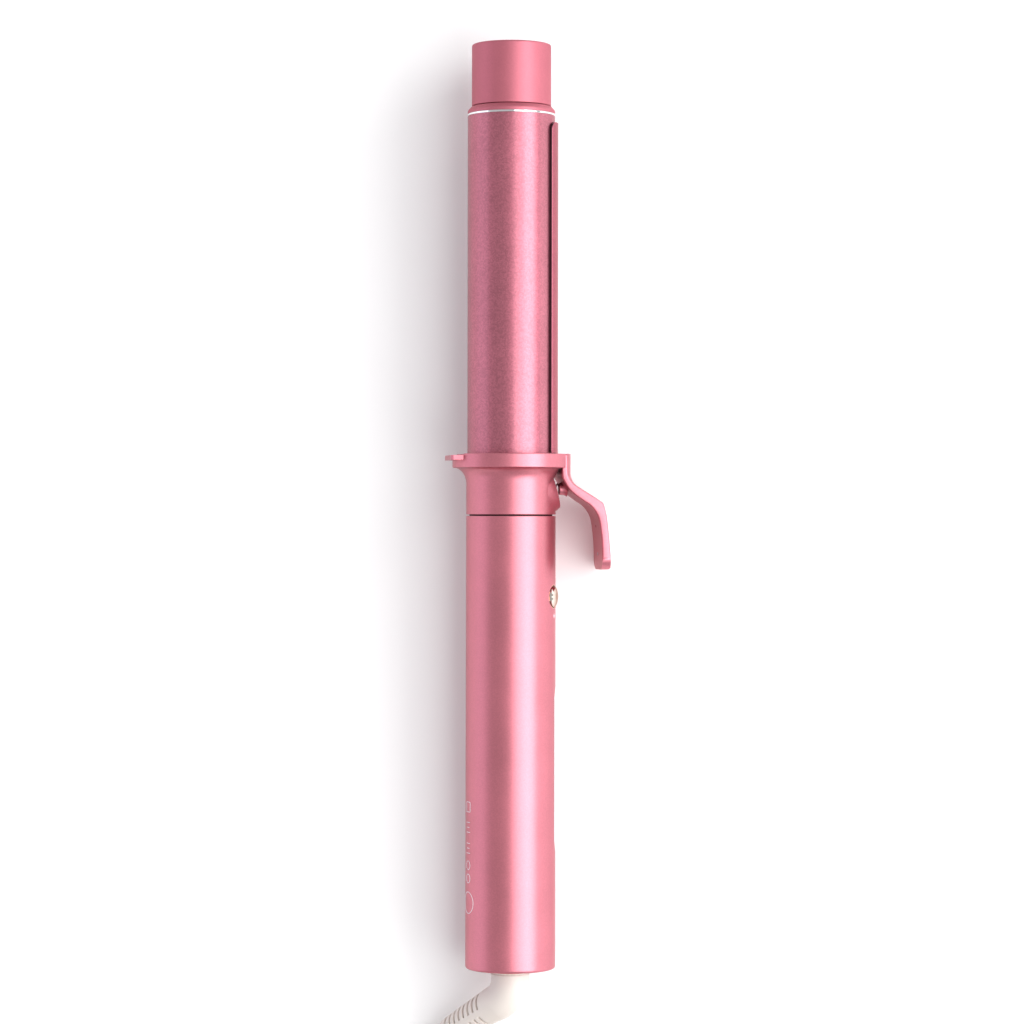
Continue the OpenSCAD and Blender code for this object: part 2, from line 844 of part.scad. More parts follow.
// the strain relief bends away from the lever and down to the table, and ends in a ribbed sleeve
module strain_relief() {
    groove = 1.1;
    pitch_z = 2.4;
    start = 4.6;
    color("#f4efe8") lead_frame() rotate([0, 0, -boot_roll])
        translate([0, 0, -boot_drop]) {
            mirror([0, 0, 1]) cylinder(r = boot_r, h = boot_neck);
            translate([-boot_bend, 0, -boot_neck]) {
                rotate([90, 0, 0])
                    rotate([0, 0, -boot_turn])
                        rotate_extrude(angle = boot_turn)
                            translate([boot_bend, 0]) circle(r = boot_r - 0.4);
                rotate([0, boot_turn, 0])
                    translate([boot_bend, 0, 0])
                        mirror([0, 0, 1])
                            difference() {
                                cylinder(r1 = boot_r - 0.4, r2 = cord_r + 1.4, h = boot_len);
                                for (i = [0 : 7])
                                    for (side = [-1, 1])
                                        translate([0, side * (boot_mid_r + 1), start + (i + (side > 0 ? 0.5 : 0)) * pitch_z])
                                            cube([20, boot_mid_r, groove], center = true);
                            }
            }
        }
}

// ---------------------------------------------------------------- lead and plug

function unit(v) = v / norm(v);
function heading(p, i) =
    unit(p[min(i + 1, len(p) - 1)] - p[max(i - 1, 0)]);

// a round tube through the points of a route; the rings stay upright
module swept_cord(points, r, sides) {
    count = len(points);
    rings = [
        for (i = [0 : count - 1])
            let (t = heading(points, i), across = unit(cross(t, [0, 0, 1])), up = cross(across, t))
                for (k = [0 : sides - 1])
                    points[i] + r * cos(360 * k / sides) * across + r * sin(360 * k / sides) * up
    ];
    walls = [
        for (i = [0 : count - 2])
            for (k = [0 : sides - 1])
                [i * sides + k, i * sides + (k + 1) % sides,
                 (i + 1) * sides + (k + 1) % sides, (i + 1) * sides + k]
    ];
    first = [for (k = [0 : sides - 1]) sides - 1 - k];
    last = [for (k = [0 : sides - 1]) (count - 1) * sides + k];
    polyhedron(points = rings, faces = concat([first], walls, [last]));
}

module cord_tube() {
    color("#f4efe8") swept_cord(cord_path, cord_r, 10);
}

module cord_coil() {
    half = coil_cols * cord_d / 2;
    height = coil_rows * cord_d + coil_lift;
    edge = 2;
    color("#f4efe8") translate([coil_at[0], coil_at[1], 0])
        rotate_extrude()
            polygon([
                [coil_mid_r - half + edge, 0], [coil_mid_r + half - edge, 0], [coil_mid_r + half, edge],
                [coil_mid_r + half, height - edge], [coil_mid_r + half - edge, height],
                [coil_mid_r - half + edge, height], [coil_mid_r - half, height - edge],
                [coil_mid_r - half, edge]
            ]);
}

module cord_tie() {
    half = coil_cols * cord_d / 2;
    height = coil_rows * cord_d + coil_lift;
    color("#d9cfc8") translate([coil_at[0], coil_at[1], 0])
        difference() {
            box([coil_mid_r - half - tie_wall, -tie_w / 2, 0], [coil_mid_r + half + tie_wall, tie_w / 2, height + tie_wall]);
            box([coil_mid_r - half, -tie_w, tie_wall], [coil_mid_r + half, tie_w, height]);
        }
}

module cord_tail() {
    color("#f4efe8") swept_cord(tail_path, cord_r, 10);
}

module plug_body() {
    half = plug_w / 2;
    color("#f4efe8") translate([plug_at[0], plug_at[1], 0]) {
        translate([plug_neck, 0, 0])
            linear_extrude(height = plug_h)
                polygon([
                    [0, -7], [plug_len * 0.45, -half], [plug_len - 1, -half], [plug_len, -half + 1],
                    [plug_len, half - 1], [plug_len - 1, half], [plug_len * 0.45, half], [0, 7]
                ]);
        translate([0, 0, plug_h / 2])
            rotate([0, 90, 0])
                cylinder(r1 = cord_r + 1, r2 = 6, h = plug_neck);
    }
}

module pin_sleeves() {
    color("#f4efe8") at_plug_pins() cylinder(r = plug_pin_r - sleeve_inset, h = sleeve_len);
}

module at_plug_pins() {
    for (side = [-1, 1])
        translate([plug_at[0] + plug_neck + plug_len, plug_at[1] + side * plug_pitch / 2, plug_h / 2])
            rotate([0, 90, 0])
                children();
}

module plug_pins() {
    bare_len = plug_pin_len - sleeve_len - pin_point;
    color("#d9c48a") at_plug_pins()
        translate([0, 0, sleeve_len]) {
            cylinder(r = plug_pin_r, h = bare_len);
            translate([0, 0, bare_len]) cylinder(r1 = plug_pin_r, r2 = 1.2, h = pin_point);
        }
}

cool_tip();
barrel_cap();
trim_ring();
barrel();
heater_plate_front();
heater_plate_back();
ceramic_heater();
thermistor();
thermal_fuse();
barrel_bush();
collar();
seam_ring();
rest_foot();
pivot_pins();
clamp();
clamp_rivets();
lever();
thumb_pad();
thumb_pins();
clamp_spring();
handle_shell();
display_window();
display_module();
circuit_board();
capacitor();
triac();
button_up();
button_down();
button_bezels();
tact_switches();
chassis();
chassis_screws();
heater_leads();
supply_leads();
end_cap();
end_cap_screws();
end_ring();
contact_brushes();
brush_holders();
swivel_hub();
hub_clip();
contact_rings();
strain_relief();
cord_tube();
cord_coil();
cord_tie();
cord_tail();
plug_body();
pin_sleeves();
plug_pins();
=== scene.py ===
import json
import bmesh
import bpy
import numpy as np
from mathutils import Matrix


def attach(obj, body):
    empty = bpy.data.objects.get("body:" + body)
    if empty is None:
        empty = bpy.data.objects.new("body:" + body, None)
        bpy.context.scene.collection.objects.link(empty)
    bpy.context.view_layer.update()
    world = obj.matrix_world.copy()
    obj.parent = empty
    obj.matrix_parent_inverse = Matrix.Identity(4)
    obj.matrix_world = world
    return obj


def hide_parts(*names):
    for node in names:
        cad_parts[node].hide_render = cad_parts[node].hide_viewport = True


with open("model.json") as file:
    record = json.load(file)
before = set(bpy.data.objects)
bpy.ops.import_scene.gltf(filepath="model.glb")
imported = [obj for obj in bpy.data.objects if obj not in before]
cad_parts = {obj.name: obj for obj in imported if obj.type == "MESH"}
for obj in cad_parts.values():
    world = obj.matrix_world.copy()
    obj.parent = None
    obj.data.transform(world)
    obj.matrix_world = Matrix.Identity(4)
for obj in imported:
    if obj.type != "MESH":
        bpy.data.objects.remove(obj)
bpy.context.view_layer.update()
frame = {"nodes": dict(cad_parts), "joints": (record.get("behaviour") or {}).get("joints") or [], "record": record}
joints = {j["name"]: j for j in frame["joints"]}

# The iron's own axes, from its joints: up the barrel, across the lever, and out towards the lever.
handleEnd = np.array(joints["lead_swivel"]["pos_m"])
tipWay = -np.array(joints["lead_swivel"]["axis"])
sideWay = np.array(joints["clamp_hinge"]["axis"])
leverWay = np.cross(sideWay, tipWay)
ironAxes = np.stack([leverWay, sideWay, tipWay])
levelWay = np.cross(tipWay, [1.0, 0.0, 0.0])
levelAxes = np.stack([np.array([1.0, 0.0, 0.0]), levelWay, tipWay])


def place(points, axes=ironAxes):
    # millimetres on the iron to metres in the frame
    return handleEnd + np.asarray(points, float) @ axes / 1000.0


def linear(hexColour):
    # a screen colour such as d08088 as linear light
    c = np.array([int(hexColour[i:i + 2], 16) for i in (0, 2, 4)]) / 255.0
    return tuple(np.where(c <= 0.04045, c / 12.92, ((c + 0.055) / 1.055) ** 2.4))


# camera

shot = {"distance": 1.2, "turn": 7.7, "aimHeight": 166.7, "aimSide": 0.4, "lens": 115.4, "tilt": 0.09}


def makeCamera():
    turn = np.radians(shot["turn"])
    back = -np.cos(turn) * sideWay - np.sin(turn) * leverWay
    right = np.cross(tipWay, back)
    aim = place([0, 0, shot["aimHeight"]]) + right * shot["aimSide"] / 1000
    roll = np.radians(shot["tilt"])
    up = np.cos(roll) * tipWay - np.sin(roll) * right
    right = np.cross(up, back)
    camera = bpy.data.objects.new("camera", bpy.data.cameras.new("camera"))
    bpy.context.scene.collection.objects.link(camera)
    pose = np.eye(4)
    pose[:3, 0], pose[:3, 1], pose[:3, 2], pose[:3, 3] = right, up, back, aim + back * shot["distance"]
    camera.matrix_world = Matrix(pose.tolist())
    camera.data.lens = shot["lens"]
    camera.data.clip_end = 20
    bpy.context.scene.camera = camera
    return right, back


viewRight, viewBack = makeCamera()
print("camera placed")


# mesh tools

def smoothLine(points, steps):
    # Catmull-Rom curve through the points, steps pieces between neighbours
    p = np.asarray(points, float)
    p = np.vstack([2 * p[0] - p[1], p, 2 * p[-1] - p[-2]])
    t = np.linspace(0, 1, steps, endpoint=False)[:, None]
    runs = []
    for a, b, c, d in zip(p[:-3], p[1:-2], p[2:-1], p[3:]):
        runs.append(0.5 * (2 * b + (c - a) * t + (2 * a - 5 * b + 4 * c - d) * t ** 2
                           + (3 * b - a - 3 * c + d) * t ** 3))
    return np.vstack(runs + [p[-2][None]])


def filleted(corners, radii, steps=6):
    # a profile whose corners are quarter curves that start and end one radius from the corner
    p = np.asarray(corners, float)
    out = [p[0]]
    t = np.linspace(0, 1, steps + 1)[:, None]
    for before, corner, after, r in zip(p[:-2], p[1:-1], p[2:], radii):
        if r <= 0:
            out.append(corner)
            continue
        inDir = (corner - before) / np.linalg.norm(corner - before)
        outDir = (after - corner) / np.linalg.norm(after - corner)
        start, end = corner - inDir * r, corner + outDir * r
        out.append(start - inDir * r * 0.3)
        out.extend((1 - t) ** 2 * start + 2 * t * (1 - t) * corner + t ** 2 * end)
        out.append(end + outDir * r * 0.3)
    out.append(p[-1])
    return np.array(out)


def finishMesh(name, verts, quads, extra, sharp, material):
    # joins doubles, turns faces outwards and keeps creases sharper than the given angle
    mesh = bpy.data.meshes.new(name)
    faces = [tuple(f) for f in quads.tolist()] + [tuple(f) for f in extra]
    mesh.from_pydata(verts.tolist(), [], faces)
    work = bmesh.new()
    work.from_mesh(mesh)
    bmesh.ops.remove_doubles(work, verts=work.verts, dist=1e-7)
    bmesh.ops.dissolve_degenerate(work, edges=work.edges, dist=1e-8)
    bmesh.ops.recalc_face_normals(work, faces=work.faces)
    work.to_mesh(mesh)
    work.free()
    mesh.polygons.foreach_set("use_smooth", [True] * len(mesh.polygons))
    mesh.set_sharp_from_angle(angle=np.radians(sharp))
    piece = bpy.data.objects.new(name, mesh)
    bpy.context.scene.collection.objects.link(piece)
    mesh.materials.append(material)
    return piece


def surface(name, grid, material, ends="fan", sharp=35.0):
    # grid[row, column] of points, closed round its columns; the two ends get a fan, one face, or stay open
    rows, cols = grid.shape[:2]
    index = np.arange(rows * cols).reshape(rows, cols)
    lower, upper = index[:-1], index[1:]
    quads = np.stack([lower, np.roll(lower, -1, 1), np.roll(upper, -1, 1), upper], -1).reshape(-1, 4)
    verts = grid.reshape(-1, 3)
    extra = []
    if ends == "fan":
        n = len(verts)
        verts = np.vstack([verts, grid[0].mean(0), grid[-1].mean(0)])
        first = np.stack([np.full(cols, n), np.roll(index[0], -1), index[0]], -1)
        last = np.stack([np.full(cols, n + 1), index[-1], np.roll(index[-1], -1)], -1)
        extra = np.vstack([first, last]).tolist()
    elif ends == "face":
        extra = [index[0][::-1].tolist(), index[-1].tolist()]
    return finishMesh(name, verts, quads, extra, sharp, material)


def turned(name, profile, material, steps=192, axes=ironAxes, sharp=35.0):
    # a profile of (radius, height) carried round the iron's axis; one that ends where it starts is a ring
    r, z = np.asarray(profile, float).T
    ring = np.allclose(profile[0], profile[-1])
    a = np.linspace(0, 2 * np.pi, steps, endpoint=False)
    grid = np.stack([r[:, None] * np.cos(a), r[:, None] * np.sin(a), np.repeat(z[:, None], steps, 1)], -1)
    return surface(name, place(grid, axes), material, "open" if ring else "fan", sharp)


def tubeAlong(name, path, radius, material, cols=20, sharp=40.0, shape=None):
    # circles of the given radius on a path, each square to it; shape(row angle) may scale them
    p = np.asarray(path, float)
    ahead = np.gradient(p, axis=0)
    ahead /= np.linalg.norm(ahead, axis=1)[:, None]
    ref = np.array([0.0, 0.0, 1.0]) if abs(ahead[0][2]) < 0.9 else np.array([1.0, 0.0, 0.0])
    across = np.cross(ahead, ref)
    across /= np.linalg.norm(across, axis=1)[:, None]
    up = np.cross(across, ahead)
    a = np.linspace(0, 2 * np.pi, cols, endpoint=False)
    r = np.broadcast_to(np.asarray(radius, float), (len(p),))[:, None] * np.ones(cols)
    if shape is not None:
        r = r * shape
    grid = p[:, None] + r[..., None] * (np.cos(a)[None, :, None] * across[:, None]
                                         + np.sin(a)[None, :, None] * up[:, None])
    return surface(name, grid, material, "fan", sharp)


def carve(piece, steps, sharp=35.0):
    # each step cuts away or joins on a helper mesh, which is then removed
    for how, helper in steps:
        step = piece.modifiers.new("carve", "BOOLEAN")
        step.operation, step.solver, step.object = how, "EXACT", helper
    bpy.context.view_layer.update()
    result = bpy.data.meshes.new_from_object(piece.evaluated_get(bpy.context.evaluated_depsgraph_get()))
    piece.modifiers.clear()
    piece.data = result
    for _, helper in steps:
        bpy.data.objects.remove(helper)
    result.polygons.foreach_set("use_smooth", [True] * len(result.polygons))
    result.set_sharp_from_angle(angle=np.radians(sharp))
    return piece


def blockAt(low, high, material, turn=0.0, about=(0, 0)):
    # a plain block between two corners on the iron, turned about the across way
    square = ((low[0], low[1]), (high[0], low[1]), (high[0], high[1]), (low[0], high[1]))
    corners = np.array([[x, y, z] for z in (low[2], high[2]) for x, y in square])
    c, s = np.cos(np.radians(turn)), np.sin(np.radians(turn))
    x, z = corners[:, 0] - about[0], corners[:, 2] - about[1]
    corners[:, 0], corners[:, 2] = about[0] + c * x + s * z, about[1] - s * x + c * z
    return surface("block", place(corners.reshape(2, 4, 3)), material, "face", 10)


def prismAlong(outline, near, far, material):
    # an outline of (across, height) pushed along the lever way
    layers = [np.stack([np.full(len(outline), x), outline[:, 0], outline[:, 1]], -1) for x in (near, far)]
    return surface("cutter", place(np.stack(layers)), material, "face", 10)


def rodFrom(start, way, length, radius, material, steps=64):
    # a plain round rod from start along way
    way = np.asarray(way, float) / np.linalg.norm(way)
    radius = np.atleast_1d(radius)
    path = np.asarray(start) + way * np.linspace(0, length, max(2, len(radius)))[:, None]
    return tubeAlong("rod", place(path), radius / 1000, material, steps)


def plate(name, outline, low, high, material, inset=0.0, sharp=35.0, across=12, shift=None):
    # a side outline of (lever way, height) carried across, its rims rounded by the inset; shift may
    # then bend each point
    p = np.asarray(outline, float)
    ahead = np.roll(p, -1, 0) - np.roll(p, 1, 0)
    ahead /= np.linalg.norm(ahead, axis=1)[:, None]
    normal = np.stack([ahead[:, 1], -ahead[:, 0]], -1)
    area = np.sum(p[:, 0] * np.roll(p[:, 1], -1) - np.roll(p[:, 0], -1) * p[:, 1])
    normal *= np.sign(area)
    t = np.radians(np.linspace(0, 90, 6))
    rimAt, rimIn = inset * (1 - np.sin(t)), inset * (1 - np.cos(t))
    flat = np.linspace(low + inset, high - inset, across)[1:-1]
    at = np.concatenate([low + rimAt[::-1], flat, high - rimAt])
    sink = np.concatenate([rimIn[::-1], np.zeros(across - 2), rimIn])
    sides = p[None] - normal[None] * sink[:, None, None]
    grid = np.stack([sides[..., 0], np.repeat(at[:, None], len(p), 1), sides[..., 1]], -1)
    if shift is not None:
        grid = shift(grid, p)
    return surface(name, place(grid), material, "face", sharp)


# materials

materials = {}


def finish(name, colour, roughness, metallic=0.0, coat=0.0, coatRough=0.1, flake=0.0, flakeScale=2600.0,
           bump=0.0, bumpScale=900.0, vary=0.05, varyScale=60.0, sheen=0.0, ior=1.5, edge=None):
    # base colour with slow and fine variation, a roughness that follows it, and a fine bump
    mat = bpy.data.materials.new(name)
    mat.use_nodes = True
    nodes, links = mat.node_tree.nodes, mat.node_tree.links
    shader = nodes["Principled BSDF"]
    shader.inputs["Metallic"].default_value = metallic
    shader.inputs["Coat Weight"].default_value = coat
    shader.inputs["Coat Roughness"].default_value = coatRough
    shader.inputs["IOR"].default_value = ior
    shader.inputs["Sheen Weight"].default_value = sheen
    if edge:
        shader.inputs["Specular Tint"].default_value = (*linear(edge), 1)
    coords = nodes.new("ShaderNodeTexCoord")
    slow = nodes.new("ShaderNodeTexNoise")
    slow.inputs["Scale"].default_value = varyScale
    slow.inputs["Detail"].default_value = 5
    links.new(coords.outputs["Object"], slow.inputs["Vector"])
    base = np.array(linear(colour))
    ramp = nodes.new("ShaderNodeValToRGB")
    ramp.color_ramp.elements[0].position, ramp.color_ramp.elements[1].position = 0.3, 0.7
    ramp.color_ramp.elements[0].color = (*np.clip(base * (1 - vary), 0, 1), 1)
    ramp.color_ramp.elements[1].color = (*np.clip(base * (1 + vary), 0, 1), 1)
    links.new(slow.outputs["Fac"], ramp.inputs["Fac"])
    colourOut = ramp.outputs["Color"]
    if flake > 0:
        grains = nodes.new("ShaderNodeTexVoronoi")
        grains.inputs["Scale"].default_value = flakeScale
        links.new(coords.outputs["Object"], grains.inputs["Vector"])
        tone = nodes.new("ShaderNodeMapRange")
        tone.inputs["To Min"].default_value, tone.inputs["To Max"].default_value = 1 - flake, 1 + flake
        split = nodes.new("ShaderNodeSeparateColor")
        links.new(grains.outputs["Color"], split.inputs["Color"])
        links.new(split.outputs["Red"], tone.inputs["Value"])
        mix = nodes.new("ShaderNodeMix")
        mix.data_type, mix.blend_type = "RGBA", "MULTIPLY"
        mix.inputs["Factor"].default_value = 1
        links.new(colourOut, mix.inputs["A"])
        links.new(tone.outputs["Result"], mix.inputs["B"])
        colourOut = mix.outputs["Result"]
    links.new(colourOut, shader.inputs["Base Color"])
    rough = nodes.new("ShaderNodeMapRange")
    rough.inputs["To Min"].default_value = max(roughness * 0.88, 0.0)
    rough.inputs["To Max"].default_value = min(roughness * 1.12, 1.0)
    links.new(slow.outputs["Fac"], rough.inputs["Value"])
    links.new(rough.outputs["Result"], shader.inputs["Roughness"])
    if bump > 0:
        fine = nodes.new("ShaderNodeTexNoise")
        fine.inputs["Scale"].default_value = bumpScale
        fine.inputs["Detail"].default_value = 3
        links.new(coords.outputs["Object"], fine.inputs["Vector"])
        relief = nodes.new("ShaderNodeBump")
        relief.inputs["Strength"].default_value = bump
        relief.inputs["Distance"].default_value = 0.0001
        links.new(fine.outputs["Fac"], relief.inputs["Height"])
        links.new(relief.outputs["Normal"], shader.inputs["Normal"])
    materials[name] = mat
    return mat


# the rose finishes are pearl metal under a clear coat; edge deepens the colour where the metal turns away
finish("rosePearl", "cb7482", 0.4, metallic=0.85, coat=1.0, coatRough=0.36, edge="c04864",
       flake=0.05, bump=0.05)
finish("roseBarrel", "b66878", 0.4, metallic=0.85, coat=0.8, coatRough=0.2, edge="a83c58",
       flake=0.14, flakeScale=2000, bump=0.05)
finish("roseBlade", "b66575", 0.4, metallic=0.85, coat=0.5, coatRough=0.12, edge="a83c58",
       flake=0.12, flakeScale=2000, bump=0.05)
finish("roseTip", "bf6c7a", 0.5, metallic=0.65, coat=0.4, coatRough=0.42, edge="b84a62",
       flake=0.03, bump=0.12)
# near-black painted shade: stands for the shadow in the gap between the clamp blade and the barrel
finish("bladeGapShade", "2a0710", 0.4, bump=0.03)
finish("polished", "f4f4f6", 0.08, metallic=1.0, vary=0.02, bump=0.01)
finish("roseGold", "e3a893", 0.07, metallic=1.0, vary=0.03, bump=0.01)
finish("seam", "160d0f", 0.6, bump=0.05)
finish("steel", "b9bcc0", 0.28, metallic=1.0, bump=0.03)
finish("aluminium", "b4b7bb", 0.4, metallic=1.0, bump=0.05)
finish("ceramic", "efe8dc", 0.7, bump=0.15)
finish("blackGlass", "06080e", 0.05, coat=0.6, coatRough=0.03, vary=0.2)
finish("electronics", "26282d", 0.5, bump=0.08)
finish("board", "23603a", 0.4, coat=0.4, vary=0.12, bump=0.05)
finish("crystal", "e6dcd2", 0.03, metallic=1.0, vary=0.02, edge="b09080")
finish("whitePlastic", "e9e6e0", 0.45, bump=0.06)
finish("ivory", "dcd3cc", 0.42, bump=0.06, vary=0.015, coat=0.15, coatRough=0.35)
finish("brass", "cfae62", 0.25, metallic=1.0, bump=0.03)
finish("leadRed", "a83630", 0.5, bump=0.05)
finish("leadBlack", "202024", 0.5, bump=0.05)
finish("strap", "d5ccc6", 0.85, bump=0.6, bumpScale=2200, vary=0.08, sheen=0.3)
finish("print", "f0e8ee", 0.5, bump=0.02)
finish("floor", "ffffff", 0.9, vary=0.004, varyScale=3)
print("materials made")

slotFinish = {
    "rose_satin": "rosePearl", "rose_barrel": "roseBarrel", "rose_tip": "roseTip", "silver": "polished",
    "rose_gold": "roseGold", "dark_seam": "seam", "steel": "steel", "aluminium": "aluminium",
    "ceramic": "ceramic", "black_glass": "blackGlass", "electronics": "electronics", "board": "board",
    "jewel": "crystal", "white_plastic": "whitePlastic", "ivory": "ivory", "brass": "brass",
    "lead_red": "leadRed", "lead_black": "leadBlack", "strap": "strap",
}
nodeSlot = {s["node"]: s["material_slot"] for s in frame["record"]["subparts"]}
for node, piece in frame["nodes"].items():
    piece.data.materials.clear()
    piece.data.materials.append(materials[slotFinish[nodeSlot[node]]])


def fit(piece, body, slot, *nodes):
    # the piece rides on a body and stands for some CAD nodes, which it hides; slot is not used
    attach(piece, body)
    if nodes:
        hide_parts(*nodes)
    return piece


# mains lead

lead = {
    "thick": 6.0, "coilAt": (-15.0, -250.0), "innerTurn": 25.5, "outerTurn": 43.5,
    "lowTurn": 3.4, "highTurn": 9.4, "enter": 170.0, "leave": 200.0,
}
leadStart = [
    (-26, -190, 8.4), (-31, -193, 6.6), (-36.5, -197, 5), (-41, -202, 4), (-45.5, -208, 3.5),
    (-49, -214, 3.3), (-52, -221, 3.3), (-54.5, -228, 3.4), (-56.5, -235.5, 3.4),
]
leadEnd = [
    (-53, -272.5, 9.3), (-50, -280.5, 8.8), (-47.5, -288, 7.6), (-44.5, -296, 6.2), (-41.5, -302, 5.2),
    (-37, -307, 4.8), (-31.5, -311, 5), (-25, -313.5, 5.8), (-18.5, -314.5, 6.6), (-12, -314.5, 6.8),
]


def coilTurns():
    # three turns inwards on the floor, a short climb on the inner turn, and three turns outwards on top
    spiral = (lead["outerTurn"] - lead["innerTurn"]) / lead["thick"]
    extra = (lead["leave"] - lead["enter"]) / 360
    total = 2 * spiral + 1 + extra
    u = np.linspace(0, total, int(total * 36))
    r = np.interp(u, [0, spiral, spiral + 1 + extra, total],
                  [lead["outerTurn"], lead["innerTurn"], lead["innerTurn"], lead["outerTurn"]])
    climb = np.clip((u - spiral - 0.62) / 0.38, 0, 1)
    z = lead["lowTurn"] + (lead["highTurn"] - lead["lowTurn"]) * climb ** 2 * (3 - 2 * climb)
    a = np.radians(lead["enter"] + 360 * u)
    return np.stack([lead["coilAt"][0] + r * np.cos(a), lead["coilAt"][1] + r * np.sin(a), z], -1)


def makeLead():
    path = smoothLine(np.vstack([leadStart, coilTurns(), leadEnd]), 2) / 1000
    curve = bpy.data.curves.new("mainsLead", "CURVE")
    curve.dimensions = "3D"
    spline = curve.splines.new("POLY")
    spline.points.add(len(path) - 1)
    spline.points.foreach_set("co", np.hstack([path, np.ones((len(path), 1))]).ravel())
    curve.bevel_depth = lead["thick"] / 2000
    curve.bevel_resolution = 5
    curve.use_fill_caps = True
    spline.use_smooth = True
    piece = bpy.data.objects.new("mainsLead", curve)
    bpy.context.scene.collection.objects.link(piece)
    curve.materials.append(materials["ivory"])
    measured = np.linalg.norm(np.diff(path, axis=0), axis=1).sum()
    print("lead measures", round(float(measured), 3))
    return piece, path


mainsLead, leadPath = makeLead()
fit(mainsLead, "cord_set", "ivory", "cord_tube", "cord_coil", "cord_tail")


# strain relief

boot = {
    "top": -1.6, "neck": 2.4, "bend": 10.1, "turn": 60.5, "roll": -20.0, "sleeve": 25.0, "radius": 7.1,
    "endRadius": 4.4, "slotFrom": 4.9, "slotPitch": 2.4, "slotWide": 0.85, "slots": 8, "slotDeep": 0.24,
    "slant": 1.9,
}
turnRoll = np.radians(boot["roll"])
bootAxes = np.stack([
    np.cos(turnRoll) * levelAxes[0] + np.sin(turnRoll) * levelAxes[1],
    np.cos(turnRoll) * levelAxes[1] - np.sin(turnRoll) * levelAxes[0], tipWay])


def bootPath():
    # straight neck, an arc away from the lever, then the straight ribbed sleeve
    neck = np.linspace(0, boot["neck"], 8)[:-1]
    turn = np.radians(np.linspace(0, boot["turn"], 40))
    sleeve = np.linspace(0, boot["sleeve"], 200)[1:]
    down = np.stack([0 * neck, 0 * neck, boot["top"] - neck], -1)
    start = boot["top"] - boot["neck"]
    arc = np.stack([-boot["bend"] * (1 - np.cos(turn)), 0 * turn, start - boot["bend"] * np.sin(turn)], -1)
    way = np.array([-np.sin(turn[-1]), 0, -np.cos(turn[-1])])
    return np.vstack([down, arc, arc[-1] + sleeve[:, None] * way])


def makeBoot():
    # circles on the path; rows of slots sink into four sides, each ring half a pitch on from its neighbours
    path = bootPath()
    along = np.concatenate([[0], np.cumsum(np.linalg.norm(np.diff(path, axis=0), axis=1))])
    total = along[-1]
    sleeveFrom = total - boot["sleeve"]
    radius = np.interp(along, [0, 0.35, boot["neck"], sleeveFrom, total - 1.0, total - 0.3, total],
                       [boot["radius"] - 0.35, boot["radius"], boot["radius"] - 0.1, boot["radius"] - 0.4,
                        boot["endRadius"], boot["endRadius"] - 0.2, boot["endRadius"] - 0.7])
    cols = 144
    a = np.linspace(0, 2 * np.pi, cols, endpoint=False)
    shape = np.ones((len(path), cols))
    for quarter in range(4):
        middleAngle = np.pi / 4 + quarter * np.pi / 2
        apart = np.abs((a - middleAngle + np.pi) % (2 * np.pi) - np.pi)
        facing = np.clip((np.radians(33) - apart) / 0.07, 0, 1)
        for i in range(boot["slots"]):
            middle = sleeveFrom + boot["slotFrom"] + (i + 0.5 * (quarter % 2)) * boot["slotPitch"]
            shifted = middle + boot["slant"] * (np.sin(a) - 0.5)
            depth = (boot["slotWide"] / 2 - np.abs(along[:, None] - shifted)) / 0.12 + 0.5
            shape -= boot["slotDeep"] * np.clip(depth, 0, 1) * facing
    piece = tubeAlong("strainRelief", place(path, bootAxes), radius / 1000, materials["ivory"], cols, 50,
                      shape)
    return fit(piece, "cord_set", "ivory", "strain_relief")


strainRelief = makeBoot()
print("lead made")


# tip, shoulder cap, trim ring and barrel

tube = {"radius": 16.0, "wall": 1.2, "low": 186.9, "high": 311.2, "edge": 0.15}
ring = {"radius": 16.12, "low": 311.2, "high": 312.0, "edge": 0.28}
shoulder = {"inner": 11.0, "low": 312.02, "bend": 313.2, "high": 314.7, "top": 14.6}
tip = {"radius": 14.5, "neck": 11.0, "low": 314.9, "high": 337.4, "edge": 0.8}


def ringProfile(inner, outer, low, high, edge):
    # a tube's section, its two outer corners rounded
    middle = (low + high) / 2
    return filleted([(inner, middle), (inner, low), (outer, low), (outer, high), (inner, high),
                     (inner, middle)], [0, edge, edge, 0])


barrelProfile = ringProfile(tube["radius"] - tube["wall"], tube["radius"], tube["low"], tube["high"],
                            tube["edge"])
barrel = turned("barrelTube", barrelProfile, materials["roseBarrel"], 256)
fit(barrel, "iron", "rose_barrel", "barrel")
trim = turned("trimRing", ringProfile(tube["radius"] - 1.5, ring["radius"], ring["low"],
                                      ring["high"], ring["edge"]), materials["polished"], 256)
fit(trim, "iron", "silver", "trim_ring")
shoulderProfile = filleted([
    (shoulder["inner"], 313), (shoulder["inner"], shoulder["low"]), (tube["radius"], shoulder["low"]),
    (tube["radius"], shoulder["bend"]), (shoulder["top"], shoulder["high"]),
    (shoulder["inner"], shoulder["high"]), (shoulder["inner"], 313),
], [0, 0.08, 0.5, 0.3, 0])
cap = turned("shoulderCap", shoulderProfile, materials["roseTip"], 256)
fit(cap, "iron", "rose_tip", "barrel_cap")
coolTip = turned("coolTip", filleted(
    [(0.6, 312), (tip["neck"] - 0.1, 312), (tip["neck"] - 0.1, tip["low"]), (tip["radius"], tip["low"]),
     (tip["radius"], tip["high"]), (0.6, tip["high"])], [0, 0, 0.35, tip["edge"]]), materials["roseTip"], 256)
fit(coolTip, "iron", "rose_tip", "cool_tip")
print("barrel and tip made")

# handle

handle = {
    "low": 0.0, "high": 165.3, "lowRadius": 16.5, "highRadius": 16.35, "inner": 13.95, "edge": 1.2,
    "topEdge": 0.3, "windowWide": 12.0, "windowLow": 41.9, "windowHigh": 103.7, "buttonHeight": 135.9,
    "buttonTurn": 24.2, "buttonRadius": 4.0, "bezel": 0.4,
}


